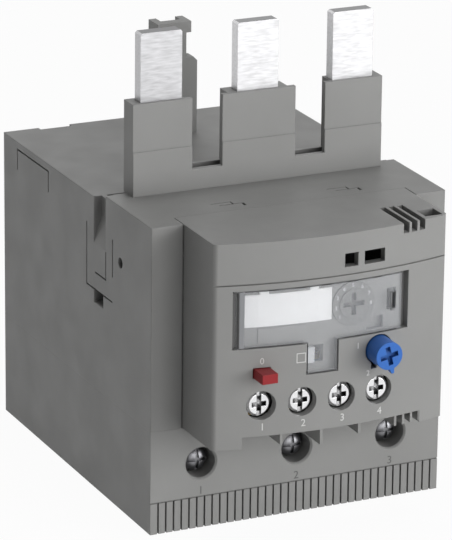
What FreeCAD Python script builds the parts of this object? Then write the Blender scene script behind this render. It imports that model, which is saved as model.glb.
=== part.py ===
import FreeCAD, Part
import math
import os
import re
import Sketcher

# Thermal overload relay, three poles, plugged under a contactor by its connection bars.
# Lengths are in millimetres. X runs across the poles, Y from the front to the rear, Z up.
# Each sub-part is drawn with y = 0 on the front plane of the case and then moved back by
# half the case depth, so the origin lies at the centre of the bottom face.

doc = FreeCAD.newDocument("overload_relay")
sheet = doc.addObject("Spreadsheet::Sheet", "Sheet")

SIZES = {
    # case
    "body_width": 70.0,
    "body_depth": 84.0,
    "base_height": 23.7,
    "rear_height": 68.0,
    "front_height": 70.0,
    "front_level": 25.0,
    "trench_width": 6.2,
    "trench_depth": 6.0,
    "trench_inset": 3.0,
    "case_wall": 2.0,
    "roof_height": 58.0,
    "bay_width": 19.0,
    "bay_length": 46.0,
    "front_wall": 2.4,
    "seat_gap": 0.1,
    "run_gap": 0.3,
    "overshoot": 5.0,
    "pole_pitch": 23.0,
    # side details
    "latch_front": 20.9,
    "latch_rear": 35.4,
    "latch_low": 46.6,
    "latch_high": 61.2,
    "latch_flap_low": 4.0,
    "latch_flap_front": 3.5,
    "latch_flap_rear": 5.0,
    "latch_edge_low": 6.0,
    "groove": 0.4,
    "groove_depth": 0.6,
    "notch_drop": 12.5,
    "notch_knee_drop": 6.1,
    "notch_lead": 0.3,
    "notch_depth": 1.8,
    "pry_low": 43.7,
    "pry_rear": 31.1,
    "pry_length": 5.2,
    "pry_depth": 2.2,
    "pry_lip": 0.6,
    "snap_left": -16.5,
    "snap_right": 11.3,
    "snap_width": 7.05,
    "snap_step": 2.6,
    "snap_front": 7.2,
    "snap_middle": 9.0,
    "snap_rear": 10.6,
    "snap_line": 0.3,
    "eye_radius": 1.2,
    "eye_depth": 3.0,
    "eye_y": 16.6,
    "eye_z": 57.2,
    "clip_front": 57.5,
    "clip_rear": 75.5,
    "clip_low_drop": 6.6,
    "clip_high_drop": 2.0,
    "rear_notch_left": -26.4,
    "rear_notch_width": 7.7,
    "rear_notch_depth": 1.3,
    "rear_notch_height": 3.0,
    # base and main terminals
    "screw_height": 15.0,
    "bore_radius": 3.5,
    "bore_chamfer": 0.4,
    "bore_length": 5.5,
    "chamber_width": 15.0,
    "chamber_length": 20.4,
    "entry_width": 11.0,
    "rib_height": 7.1,
    "rib_pitch": 1.842,
    "rib_groove": 0.4,
    "rib_depth": 0.6,
    "rib_line": 0.3,
    "screw_radius": 2.95,
    "screw_sink": 4.5,
    "screw_length": 9.1,
    "hex_radius": 2.3,
    "hex_depth": 3.2,
    "thread_gap": 0.05,
    "cage_wall": 1.8,
    "cage_lead": 2.2,
    "cage_side": 1.6,
    "cage_width": 14.0,
    "cage_length": 15.6,
    "cage_height": 13.0,
    "lug_thick": 2.0,
    "lug_width": 9.6,
    "lug_top": 30.0,
    # bars and heaters
    "bar_width": 9.8,
    "bar_thick": 3.0,
    "bar_front": 22.4,
    "bar_rise": 36.2,
    "bar_low": 52.0,
    "bar_chamfer": 0.4,
    "heater_thick": 1.2,
    "heater_low": 28.0,
    "heater_slot": 1.4,
    "heater_pitch": 4.6,
    "heater_first": 3.0,
    "heater_margin": 1.6,
    "heater_set": 3.0,
    "heater_bend": 1.0,
    "bimetal_thick": 1.0,
    "bimetal_depth": 4.0,
    "bimetal_offset": 3.0,
    "bimetal_top": 57.2,
    "bimetal_foot": 3.0,
    # front cover
    "cover_side": 4.5,
    "cheek_gap": 0.2,
    "hair_gap": 0.02,
    "lip_reach": 4.8,
    "cover_round": 1.2,
    "cover_insert": 9.4,
    "cover_reach": 19.0,
    "cover_radius": 104.0,
    "cover_wall": 2.0,
    "cover_skirt": 26.5,
    "floor_thick": 1.5,
    "foot_width": 6.3,
    "seam_rise": 1.25,
    "seam_width": 0.3,
    "seam_depth": 0.4,
    "pan_left": -23.5,
    "pan_right": 17.35,
    "pan_low": 46.4,
    "pan_high": 59.4,
    "pan_depth": 2.0,
    "pan_back": 1.6,
    "pan_rim": 0.7,
    "pan_border": 1.4,
    "tab_left": -7.2,
    "tab_right": 0.25,
    "tab_low": 39.4,
    "catch_left": 12.9,
    "catch_right": 15.2,
    "catch_low": 50.6,
    "catch_high": 55.4,
    "catch_depth": 1.0,
    "catch_hook": 0.7,
    "well_left": 7.8,
    "well_right": 12.0,
    "well_low": 46.8,
    "well_high": 49.6,
    "well_depth": 1.2,
    "vent_width": 1.45,
    "vent_spacing": 2.1,
    "vent_left": 15.8,
    "vent_back": -5.9,
    "vent_depth": 2.2,
    "pocket_left": 22.4,
    "pocket_width": 4.1,
    "pocket_length": 4.4,
    "pocket_front": -15.0,
    "pocket_depth": 6.0,
    "slot_rise": 3.1,
    "slot_height": 3.0,
    "slot_left": 1.35,
    "slot_short": 3.2,
    "slot_right": 11.1,
    "slot_long": 5.0,
    "fin_thick": 0.6,
    "fin_length": 14.0,
    "fin_drop": 2.3,
    # auxiliary terminals
    "aux_left": -17.15,
    "aux_pitch": 9.15,
    "aux_height": 33.45,
    "aux_bore": 3.25,
    "aux_head": 2.8,
    "aux_head_thick": 1.8,
    "aux_round": 0.5,
    "aux_cross": 1.7,
    "aux_slot": 1.1,
    "aux_sink": 1.1,
    "aux_shank": 1.7,
    "aux_washer": 2.6,
    "aux_washer_thick": 1.0,
    "aux_entry": 5.2,
    "aux_lead": 2.2,
    "aux_end": -5.6,
    "block_top": 38.0,
    "block_back": -5.0,
    "block_margin": 4.6,
    "slot_floor": 0.6,
    "strip_front": -10.9,
    "strip_thick": 0.8,
    "strip_width": 4.8,
    "riser_width": 3.0,
    # controls
    "dial_x": 4.45,
    "dial_z": 53.4,
    "dial_radius": 3.3,
    "dial_sink": 1.45,
    "dial_head": 3.0,
    "dial_shaft": 1.1,
    "dial_over": 0.6,
    "ring_radius": 5.0,
    "ring_step": 0.2,
    "ring_thick": 0.2,
    "cam_radius": 3.2,
    "cam_offset": 1.0,
    "cam_set": 2.0,
    "cam_thick": 2.0,
    "cross_width": 1.1,
    "cross_depth": 1.2,
    "reset_x": 10.15,
    "reset_z": 42.75,
    "reset_radius": 3.1,
    "reset_gap": 0.25,
    "reset_stand": 5.0,
    "reset_front": 2.0,
    "key_left": 1.9,
    "key_right": 0.5,
    "key_reach": 4.2,
    "pointer_half": 0.6,
    "pointer_reach": 1.0,
    "pointer_thick": 1.4,
    "plunger_half": 1.6,
    "plunger_nose": 1.5,
    "collar_half": 3.5,
    "collar_thick": 1.1,
    "collar_step": 0.8,
    "reset_coil": 2.7,
    "reset_wire": 0.5,
    "stop_x": -17.1,
    "stop_z": 40.85,
    "stop_width": 3.6,
    "stop_height": 2.1,
    "stop_stand": 4.2,
    "stem_half": 0.7,
    "stop_coil": 1.3,
    "stop_wire": 0.4,
    "test_left": -6.6,
    "test_width": 1.9,
    "test_low": 41.5,
    "test_high": 45.0,
    "test_travel": 2.1,
    "test_stem": 1.6,
    # window and label
    "window_left": -22.6,
    "window_right": 15.6,
    "window_thick": 1.1,
    "window_gap": 0.15,
    "hinge_set": 0.6,
    "hinge_lip": 0.5,
    "hinge_pin": 0.35,
    "hinge_reach": 0.8,
    "label_left": -20.9,
    "label_right": -0.7,
    "label_low": 51.1,
    "label_high": 58.3,
    "label_thick": 0.3,
    "label_tab_left": -17.3,
    "label_tab_right": -6.1,
    "label_tab_width": 2.0,
    "label_tab_rise": 0.6,
    # mechanism
    "frame_front": -5.0,
    "frame_thick": 1.8,
    "frame_half": 24.5,
    "frame_low": 40.2,
    "frame_drop": 4.0,
    "frame_flange": 1.5,
    "flange_high": 50.0,
    "slider_low": 54.0,
    "slider_high": 57.0,
    "slider_front": 4.0,
    "slider_thick": 2.4,
    "ledge_left": -11.5,
    "ledge_right": 9.5,
    "ledge_half": 2.5,
    "ledge_height": 1.4,
    "slider_travel": 1.5,
    "finger_width": 2.0,
    "finger_end": 17.0,
    "finger_gap": 0.9,
    "finger_room": 6.0,
    "push_gap": 0.5,
    "push_drop": 1.0,
    "pin_x": 16.0,
    "pin_z": 47.0,
    "pin_radius": 1.0,
    "pin_over": 0.6,
    "lever_front": 0.4,
    "lever_thick": 1.6,
    "lever_reach": 9.0,
    "lever_pad": 1.0,
    "lever_half": 0.8,
    "lever_hub": 1.9,
    "lever_head": 3.0,
    "comp_half": 0.4,
    "carrier_front": -0.9,
    "carrier_thick": 1.0,
    "carrier_left": -18.9,
    "carrier_right": 11.9,
    "carrier_drop": 0.6,
    "carrier_height": 3.6,
    "guide_width": 1.6,
    "guide_drop": 2.0,
    "guide_rise": 7.0,
    "spring_x": -4.0,
    "spring_room": 9.0,
    "spring_seat": 2.0,
    "seat_thick": 1.2,
    "carrier_coil": 1.0,
    "carrier_wire": 0.35,
    "carrier_coil_set": 0.2,
    "contact_height": 46.0,
    "contact_thick": 0.8,
    "contact_reach": 1.0,
    "contact_lip": 1.1,
    "contact_end": 1.4,
    # shroud
    "shroud_front": 21.5,
    "shroud_back": 26.4,
    "shroud_plate": 1.1,
    "skirt_thick": 0.2,
    "skirt_rise": 10.0,
    "comb_rise": 4.7,
    "shroud_rise": 20.8,
    "shroud_half": 30.0,
    "shroud_rear_wall": 0.9,
    "finger_inset": 1.6,
    "gap_middle": 12.4,
    "gap_width": 7.2,
    "bar_gap": 0.1,
    # coupling hook
    "hook_front": 66.8,
    "hook_thick": 3.0,
    "post_half": 5.75,
    "post_rise": 18.2,
    "post_chamfer": 1.0,
    "arm_half": 3.0,
    "head_half": 4.2,
    "head_rise": 24.0,
    "head_thick": 2.6,
    "head_web": 2.4,
    "head_depth": 5.1,
    "prong_width": 1.8,
    "hook_foot": 3.0,
}

for row, (alias, size) in enumerate(SIZES.items(), start=1):
    sheet.set("A%d" % row, alias.replace("_", " "))
    sheet.set("B%d" % row, str(size))
    sheet.setAlias("B%d" % row, alias)
doc.recompute()

ROLES = {"XY": "XY_Plane", "XZ": "XZ_Plane", "YZ": "YZ_Plane"}
FRONT = "(-body_depth/2)"
POLES = {"1": "(-pole_pitch)", "2": "0", "3": "pole_pitch"}
AUX = {str(k + 1): "(aux_left + %d*aux_pitch)" % k for k in range(4)}
sub_parts = []


def bind(thing, prop, text):
    """Tie a property to a formula of the sheet's named sizes."""
    def cell(match):
        word = match.group()
        return "Sheet." + word if word in SIZES else word
    thing.setExpression(prop, re.sub(r"[A-Za-z_]\w*", cell, text))


def finish(thing, name):
    """Name a sub-part and move it from the front plane to the part's own frame."""
    thing.Label = name
    bind(thing, "Placement.Base.y", FRONT)
    sub_parts.append(thing)
    return thing


def new_body(name):
    return finish(doc.addObject("PartDesign::Body", name), name)


def rect(low_a, high_a, low_b, high_b):
    return [(low_a, low_b), (high_a, low_b), (high_a, high_b), (low_a, high_b)]


def around(middle, half_a, height, half_b):
    """Rectangle given by its centre and half sizes."""
    return rect("%s - (%s)" % (middle, half_a), "%s + (%s)" % (middle, half_a),
                "%s - (%s)" % (height, half_b), "%s + (%s)" % (height, half_b))


def plus_sign(mid_a, mid_b, reach, half):
    """Outline of an upright cross."""
    turns = [(1, "r", "h"), (1, "h", "h"), (1, "h", "r"), (2, "h", "r"), (2, "h", "h"), (2, "r", "h"),
             (3, "r", "h"), (3, "h", "h"), (3, "h", "r"), (4, "h", "r"), (4, "h", "h"), (4, "r", "h")]
    signs = {1: ("+", "+"), 2: ("-", "+"), 3: ("-", "-"), 4: ("+", "-")}
    size = {"r": reach, "h": half}
    return [("%s %s %s" % (mid_a, signs[q][0], size[a]), "%s %s %s" % (mid_b, signs[q][1], size[b]))
            for q, a, b in turns]


def turned(corners, mid_a, mid_b, angle):
    """Corners turned about a middle, counter-clockwise from the front."""
    along, across = round(math.cos(angle), 6), round(math.sin(angle), 6)
    moved = []
    for a, b in corners:
        from_a, from_b = "(%s - %s)" % (a, mid_a), "(%s - %s)" % (b, mid_b)
        moved.append(("%s + %s*%s - %s*%s" % (mid_a, from_a, along, from_b, across),
                      "%s + %s*%s + %s*%s" % (mid_b, from_a, across, from_b, along)))
    return moved


def constrain(sketch, kind, args, name, text):
    number = sketch.addConstraint(Sketcher.Constraint(kind, *args, 1.0))
    sketch.renameConstraint(number, name)
    bind(sketch, "Constraints." + name, text)


def draw_polygon(sketch, corners, tag):
    """Closed outline whose corners are each set by two formulas."""
    first = sketch.GeometryCount
    count = len(corners)
    ring = [FreeCAD.Vector(10*math.cos(math.tau*k/count), 10*math.sin(math.tau*k/count), 0)
            for k in range(count)]
    for k in range(count):
        sketch.addGeometry(Part.LineSegment(ring[k], ring[(k + 1) % count]))
    for k in range(count):
        sketch.addConstraint(Sketcher.Constraint("Coincident", first + k, 2, first + (k + 1) % count, 1))
    for k, (a, b) in enumerate(corners):
        constrain(sketch, "DistanceX", (-1, 1, first + k, 1), "%s_a%d" % (tag, k), a)
        constrain(sketch, "DistanceY", (-1, 1, first + k, 1), "%s_b%d" % (tag, k), b)


def draw_circle(sketch, circle, tag):
    a, b, radius = circle
    index = sketch.addGeometry(Part.Circle(FreeCAD.Vector(1, 1, 0), FreeCAD.Vector(0, 0, 1), 1))
    constrain(sketch, "Radius", (index,), tag + "_r", radius)
    constrain(sketch, "DistanceX", (-1, 1, index, 3), tag + "_a", a)
    constrain(sketch, "DistanceY", (-1, 1, index, 3), tag + "_b", b)


def sketch_on(body, plane, offset, loops):
    """Sketch parallel to an origin plane; a tuple of three is a circle, a list is a polygon."""
    sketch = body.newObject("Sketcher::SketchObject", body.Name + "_sketch")
    support = [f for f in body.Origin.OriginFeatures if f.Role == ROLES[plane]]
    sketch.AttachmentSupport = (support[0], [""])
    sketch.MapMode = "FlatFace"
    bind(sketch, "AttachmentOffset.Base.z", offset)
    for number, loop in enumerate(loops):
        if isinstance(loop, tuple):
            draw_circle(sketch, loop, "c%d" % number)
        else:
            draw_polygon(sketch, loop, "p%d" % number)
    return sketch


def pad(body, plane, low, high, *loops):
    """Add material between two positions along the plane's own axis."""
    offset = "-1*(%s)" % high if plane == "XZ" else low
    feature = body.newObject("PartDesign::Pad", body.Name + "_pad")
    feature.Profile = sketch_on(body, plane, offset, loops)
    bind(feature, "Length", "(%s) - (%s)" % (high, low))
    return feature


def pocket(body, plane, low, high, *loops):
    """Remove material between two positions along the plane's own axis."""
    offset = "-1*(%s)" % low if plane == "XZ" else high
    feature = body.newObject("PartDesign::Pocket", body.Name + "_pocket")
    feature.Profile = sketch_on(body, plane, offset, loops)
    bind(feature, "Length", "(%s) - (%s)" % (high, low))
    return feature


def row_along_x(body, feature, pitch, copies):
    """Repeat a feature along X."""
    pattern = body.newObject("PartDesign::LinearPattern", body.Name + "_row")
    pattern.Originals = [feature]
    pattern.Direction = (feature.Profile[0], ["H_Axis"])
    bind(pattern, "Occurrences", copies)
    bind(pattern, "Length", "(%s)*(%s - 1)" % (pitch, copies))
    body.Tip = pattern
    return pattern


def chamfer_edges(body, size, wanted):
    """Chamfer the edges of the newest feature that a test function picks."""
    doc.recompute()
    base = body.Tip
    names = ["Edge%d" % (k + 1) for k, edge in enumerate(base.Shape.Edges) if wanted(edge)]
    feature = body.newObject("PartDesign::Chamfer", body.Name + "_chamfer")
    feature.Base = (base, names)
    bind(feature, "Size", size)
    return feature


def size_of(alias):
    return sheet.get(alias)


def block(x, y, z):
    """Box between three pairs of formulas."""
    box = doc.addObject("Part::Box", "block")
    for side, axis, (low, high) in (("Length", "x", x), ("Width", "y", y), ("Height", "z", z)):
        bind(box, side, "(%s) - (%s)" % (high, low))
        bind(box, "Placement.Base." + axis, low)
    return box


def rod(x, z, radius, low, high):
    """Round bar along Y between two positions."""
    bar = doc.addObject("Part::Cylinder", "rod")
    bar.Placement.Rotation = FreeCAD.Rotation(FreeCAD.Vector(1, 0, 0), -90)
    bind(bar, "Radius", radius)
    bind(bar, "Height", "(%s) - (%s)" % (high, low))
    bind(bar, "Placement.Base.x", x)
    bind(bar, "Placement.Base.y", low)
    bind(bar, "Placement.Base.z", z)
    return bar


def post(x, y, radius, low, high):
    """Round bar along Z between two heights."""
    bar = doc.addObject("Part::Cylinder", "post")
    bind(bar, "Radius", radius)
    bind(bar, "Height", "(%s) - (%s)" % (high, low))
    bind(bar, "Placement.Base.x", x)
    bind(bar, "Placement.Base.y", y)
    bind(bar, "Placement.Base.z", low)
    return bar


def joined(shapes):
    fused = doc.addObject("Part::MultiFuse", "joined")
    fused.Shapes = shapes
    return fused


def less(base, tool):
    cut = doc.addObject("Part::Cut", "less")
    cut.Base = base
    cut.Tool = tool
    return cut


def common(first, second):
    both = doc.addObject("Part::MultiCommon", "common")
    both.Shapes = [first, second]
    return both


def bow_drum(sink):
    """Upright cylinder whose front is the cover's bowed face, sunk by a distance."""
    return post("0", "cover_radius - cover_reach", "cover_radius - (%s)" % sink,
                "-overshoot", "2*front_height")


def inside_bow(shape, sink="0"):
    return common(shape, bow_drum(sink))


def outside_bow(shape, sink):
    return less(shape, bow_drum(sink))


def bow(x, sink="0"):
    """Formula for the depth of the bowed face, sunk by a distance, at a place across it."""
    return "(cover_radius - cover_reach - sqrt((cover_radius - (%s))^2 - (%s)^2))" % (sink, x)


BASE_TOP = "base_height"
SEAT_REAR = "(cover_insert + seat_gap)"
BAY_FRONT = "(cover_insert + seat_gap + front_wall)"
BAY_REAR = "(cover_insert + seat_gap + front_wall + bay_length)"
HALF = "(body_width/2)"
COVER_HALF = "(pole_pitch + cover_side)"
TRENCH_REAR = "(front_level + trench_width)"
LUG_FRONT = "(screw_sink + screw_length + seat_gap)"
LUG_REAR = "(screw_sink + screw_length + seat_gap + lug_thick)"
AHEAD = "(-cover_reach - overshoot)"
BEHIND = "(-cover_radius/10)"
KNOB_TURN = math.radians(13)
COVER_FLOOR = "(cover_skirt + floor_thick)"
BLOCK_LOW = "(cover_skirt + floor_thick + seat_gap)"
STRIP_REAR = "(strip_front + strip_thick)"
FRAME_REAR = "(frame_front + frame_thick)"
LEVER_REAR = "(lever_front + lever_thick)"
RISER = "(carrier_front - contact_reach)"


def bar_slots():
    """Outlines of the three slots that the connection bars pass through."""
    return [rect("%s - bar_width/2 - bar_gap" % x, "%s + bar_width/2 + bar_gap" % x,
                 "bar_front - bar_gap", "bar_front + bar_thick + bar_gap") for x in POLES.values()]


def make_housing():
    """Upper case: side cheeks, three pole bays, the top with its trench and the side latches."""
    body = new_body("housing")
    step = [("0", BASE_TOP), ("body_depth", BASE_TOP), ("body_depth", "rear_height"),
            ("front_level", "rear_height"), ("front_level", "front_height"), ("0", "front_height")]
    pad(body, "YZ", "-" + HALF, HALF, step)
    seat = "(%s + cheek_gap)" % COVER_HALF
    lip_low = "(front_height - cover_wall)"
    pocket(body, "XY", BASE_TOP, lip_low, rect("-" + seat, seat, "0", SEAT_REAR))
    pocket(body, "XY", lip_low, "front_height", rect("-" + seat, seat, "0", "lip_reach + hair_gap"))
    inner = "(body_width/2 - trench_inset)"
    pocket(body, "XY", "rear_height - trench_depth", "rear_height",
           rect("-" + inner, inner, "front_level", TRENCH_REAR))
    bays = [rect("%s - bay_width/2" % x, "%s + bay_width/2" % x, BAY_FRONT, BAY_REAR)
            for x in POLES.values()]
    pocket(body, "XY", BASE_TOP, "roof_height", *bays)
    pocket(body, "XY", "roof_height", "front_height", *bar_slots())
    windows = [rect("%s - bimetal_offset - finger_gap" % x, "%s - bimetal_offset + finger_room" % x,
                    "slider_low - finger_gap", "slider_high + finger_gap") for x in POLES.values()]
    pocket(body, "XZ", SEAT_REAR, BAY_FRONT, *windows)
    for sign in ("-", ""):
        make_side_details(body, sign)
    pocket(body, "XY", "rear_height - rear_notch_height", "rear_height",
           rect("rear_notch_left", "rear_notch_left + rear_notch_width",
                "body_depth - rear_notch_depth", "body_depth"))
    ledges = [rect("%s - ledge_half" % x, "%s + ledge_half" % x,
                   "slider_low - run_gap - ledge_height", "slider_low - run_gap")
              for x in ("ledge_left", "ledge_right")]
    pad(body, "XZ", "slider_front", SEAT_REAR, *ledges)
    hook_slot = rect("-head_half - seat_gap", "head_half + seat_gap", "hook_front - seat_gap",
                     "hook_front + hook_thick + seat_gap")
    pocket(body, "XY", "rear_height - hook_foot - seat_gap", "rear_height", hook_slot)
    for left in ("snap_left", "snap_right"):
        make_snap_marks(body, left)


def make_snap_marks(body, left):
    """Outline of a snap hook in the top face: two short steps and a return."""
    end = left + " + snap_width"
    middle = left + " + snap_width - snap_step"
    lines = [rect(left, middle, "snap_rear - snap_line", "snap_rear"),
             rect(middle, middle + " + snap_line", "snap_middle", "snap_rear"),
             rect(left + " + snap_step/2", end, "snap_middle - snap_line", "snap_middle"),
             rect(end + " - snap_line*2", end, "snap_front", "snap_middle")]
    for line in lines:
        pocket(body, "XY", "front_height - groove_depth", "front_height", line)


def make_side_details(body, sign):
    """Latch outline, entry notch, pry recess, eye and rear clip outline on one side face."""
    face = "%sbody_width/2" % sign

    def sunk(depth):
        return "%s %s %s" % (face, "+" if sign == "-" else "-", depth)

    def span(depth):
        return (face, sunk(depth)) if sign == "-" else (sunk(depth), face)

    latch = [("latch_rear", "latch_high"), ("latch_rear", "latch_low"), ("latch_front", "latch_low"),
             ("latch_front", "latch_low + groove"), ("latch_rear - groove", "latch_low + groove"),
             ("latch_rear - groove", "latch_high")]
    edge = rect("latch_front - groove/2", "latch_front + groove/2",
                "latch_low + latch_edge_low", "latch_high")
    flap_front = "latch_front + latch_flap_front"
    flap_low = "latch_low + latch_flap_low"
    flap = [("latch_rear - latch_flap_rear", flap_low), (flap_front, flap_low),
            (flap_front, "latch_high - latch_flap_low"),
            (flap_front + " + groove", "latch_high - latch_flap_low"),
            (flap_front + " + groove", flap_low + " + groove"),
            ("latch_rear - latch_flap_rear", flap_low + " + groove")]
    clip_low = "rear_height - clip_low_drop"
    clip_high = "rear_height - clip_high_drop"
    clip = [("clip_front", clip_low), ("clip_front", clip_high), ("clip_rear", clip_high),
            ("clip_rear", clip_low), ("clip_rear + groove", clip_low),
            ("clip_rear + groove", clip_high + " + groove"), ("clip_front - groove", clip_high + " + groove"),
            ("clip_front - groove", clip_low)]
    pocket(body, "YZ", *span("groove_depth"), latch)
    pocket(body, "YZ", *span("groove_depth"), edge, flap, clip)
    pocket(body, "YZ", *span("eye_depth"), ("eye_y", "eye_z", "eye_radius"))
    notch = [(sunk("notch_depth"), "front_height"), (sunk("notch_depth"), "front_height - notch_knee_drop"),
             (face, "front_height - notch_drop"), (face, "front_height")]
    pocket(body, "XZ", "front_level - notch_lead", TRENCH_REAR, notch)
    pry = [(face, "latch_low"), (sunk("pry_depth"), "latch_low"),
           (sunk("pry_depth"), "pry_low + pry_lip"), (face, "pry_low")]
    pocket(body, "XZ", "pry_rear - pry_length", "pry_rear", pry)


def make_terminal_base():
    """Lower case: terminal chambers with screw bores, wire entries and the ribbed grip strip."""
    body = new_body("terminal_base")
    pad(body, "XY", "0", BASE_TOP, rect("-" + HALF, HALF, "0", "body_depth"))
    chamber_rear = "(bore_length + chamber_length)"
    chambers = [rect("%s - chamber_width/2" % x, "%s + chamber_width/2" % x, "bore_length", chamber_rear)
                for x in POLES.values()]
    pocket(body, "XY", "case_wall", BASE_TOP, *chambers)
    entries = [rect("%s - entry_width/2" % x, "%s + entry_width/2" % x, LUG_REAR + " + seat_gap",
                    chamber_rear + " - cage_wall") for x in POLES.values()]
    pocket(body, "XY", "0", "case_wall", *entries)
    pocket(body, "XZ", "0", "bore_length", *[(x, "screw_height", "bore_radius") for x in POLES.values()])
    chamfer_edges(body, "bore_chamfer", lambda edge: isinstance(edge.Curve, Part.Circle)
                  and edge.Closed and abs(edge.Curve.Center.y) < 1e-6)
    first = "(rib_pitch - body_width/2)"
    groove = pocket(body, "XZ", "0", "rib_depth",
                    rect(first + " - rib_groove/2", first + " + rib_groove/2", "0", "rib_height"))
    row_along_x(body, groove, "rib_pitch", "round(body_width/rib_pitch) - 1")
    pocket(body, "XZ", "0", "rib_depth/2", rect("-" + HALF, HALF, "rib_height", "rib_height + rib_line"))


def hexagon(x, z, radius):
    """Outline of a regular hexagon round a place."""
    return [("%s + %s*%s" % (x, radius, round(math.cos(k*math.pi/3), 6)),
             "%s + %s*%s" % (z, radius, round(math.sin(k*math.pi/3), 6))) for k in range(6)]


def make_pole(number, x):
    """Current path of one pole: bar, heater, bimetal strip, lug, clamp cage and screw."""
    bar_top = "(front_height + bar_rise)"
    left, right = "%s - bar_width/2" % x, "%s + bar_width/2" % x
    body = new_body("connection_bar_" + number)
    tip = [(left, "bar_low"), (right, "bar_low"), (right, bar_top + " - bar_chamfer"),
           (right + " - bar_chamfer", bar_top), (left + " + bar_chamfer", bar_top),
           (left, bar_top + " - bar_chamfer")]
    pad(body, "XZ", "bar_front", "bar_front + bar_thick", tip)

    left, right = "%s - lug_width/2" % x, "%s + lug_width/2" % x
    body = new_body("load_lug_" + number)
    pad(body, "XY", "case_wall", "lug_top", rect(left, right, LUG_FRONT, LUG_REAR))

    body = new_body("heater_" + number)
    plate = "(bar_front - heater_set)"
    shelf = "(bar_low + heater_bend)"
    bent = [(LUG_REAR, "heater_low"), (plate + " + heater_thick", "heater_low"),
            (plate + " + heater_thick", shelf), ("bar_front", shelf),
            ("bar_front", shelf + " + heater_thick"), (plate, shelf + " + heater_thick"),
            (plate, "heater_low + heater_thick"), (LUG_REAR, "heater_low + heater_thick")]
    pad(body, "YZ", left, right, bent)
    from_left, from_right = [], []
    for turn in range(4):
        level = "(heater_low + heater_first + %d*heater_pitch)" % turn
        from_left.append(rect(left, right + " - heater_margin", level, level + " + heater_slot"))
        level = "(%s + heater_pitch/2)" % level
        from_right.append(rect(left + " + heater_margin", right, level, level + " + heater_slot"))
    pocket(body, "XZ", plate, plate + " + heater_thick", *from_left)
    pocket(body, "XZ", plate, plate + " + heater_thick", *from_right)

    body = new_body("bimetal_strip_" + number)
    middle = "(%s - bimetal_offset)" % x
    rear = LUG_FRONT + " + bimetal_depth"
    pad(body, "XY", "lug_top", "bimetal_top",
        rect(middle + " - bimetal_thick/2", middle + " + bimetal_thick/2", LUG_FRONT, rear))
    pad(body, "XY", "lug_top", "lug_top + bimetal_thick",
        rect(middle + " - bimetal_foot/2", middle + " + bimetal_foot", LUG_FRONT, rear))

    left, right = "%s - cage_width/2" % x, "%s + cage_width/2" % x
    body = new_body("clamp_cage_" + number)
    front = "(%s - cage_wall - cage_lead)" % LUG_FRONT
    rear = "(%s + cage_length)" % front
    pad(body, "XY", "screw_height - cage_height/2", "screw_height + cage_height/2",
        rect(left, right, front, rear),
        rect(left + " + cage_side", right + " - cage_side", front + " + cage_wall", rear + " - cage_wall"))
    pocket(body, "XZ", front, front + " + cage_wall", (x, "screw_height", "screw_radius + thread_gap"))

    body = new_body("terminal_screw_" + number)
    pad(body, "XZ", "screw_sink", "screw_sink + screw_length", (x, "screw_height", "screw_radius"))
    pocket(body, "XZ", "screw_sink", "screw_sink + hex_depth", hexagon(x, "screw_height", "hex_radius"))


def make_front_cover():
    """Bowed front cover with its window pan, control openings, vents and wire partitions."""
    inner = "(%s - cover_wall)" % COVER_HALF
    foot = "(base_height + seat_gap)"
    blank = block(("-" + COVER_HALF, COVER_HALF), (AHEAD, "cover_insert"), (foot, "front_height"))
    outer = round_corners(inside_bow(blank), "cover_round")
    hollow = inside_bow(block(("-" + inner, inner), (AHEAD, "cover_insert + overshoot"),
                              (COVER_FLOOR, "front_height - cover_wall")), "cover_wall")
    pan = outside_bow(joined([block(("pan_left - pan_border", "pan_right + pan_border"), (AHEAD, "0"),
                                    ("pan_low - pan_rim", "pan_high + pan_border")),
                              block(("tab_left - pan_border", "tab_right + pan_border"), (AHEAD, "0"),
                                    ("tab_low - pan_rim", "pan_low"))]), "pan_depth + pan_back")
    shell = less(outer, less(hollow, pan))
    cuts = cover_recesses() + cover_openings() + cover_top_cuts()
    finish(joined([less(shell, joined(cuts))] + cover_fins()), "front_cover")


def round_corners(shape, radius):
    """Round the two upright front corners of the bowed form."""
    doc.recompute()
    boxes = [(k + 1, edge.BoundBox) for k, edge in enumerate(shape.Shape.Edges)]
    edges = [k for k, box in boxes if box.YMax < 0 and box.ZLength > box.XLength + box.YLength]
    soft = doc.addObject("Part::Fillet", "round")
    soft.Base = shape
    soft.Edges = [(k, size_of(radius), size_of(radius)) for k in edges]
    return soft


def cover_recesses():
    """Sunk places of the bowed face: skirt, window pan with its tab and well, and seam line."""
    half = "(%s + overshoot)" % COVER_HALF
    middle = "(%s - foot_width)" % COVER_HALF
    seam = "pan_high + seam_rise"
    cuts = [block(("-" + middle, middle), (AHEAD, "cover_insert + overshoot"), ("0", "cover_skirt"))]
    places = [(("pan_left", "pan_right"), ("pan_low", "pan_high"), "pan_depth"),
              (("tab_left", "tab_right"), ("tab_low", "pan_low + seat_gap"), "pan_depth"),
              (("well_left", "well_right"), ("well_low", "well_high"), "pan_depth + well_depth"),
              (("-" + half, half), (seam, seam + " + seam_width"), "seam_depth")]
    for x, z, depth in places:
        cuts.append(outside_bow(block(x, (AHEAD, "overshoot"), z), depth))
    hinge_x, pivot = window_pivot()
    grip = "(hinge_pin + thread_gap)"
    cuts.append(block((hinge_x + " - " + grip, hinge_x + " + " + grip),
                      (pivot + " - " + grip, pivot + " + " + grip),
                      ("pan_low - hinge_reach - seat_gap", "pan_high + hinge_reach + seat_gap")))
    return cuts


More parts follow.
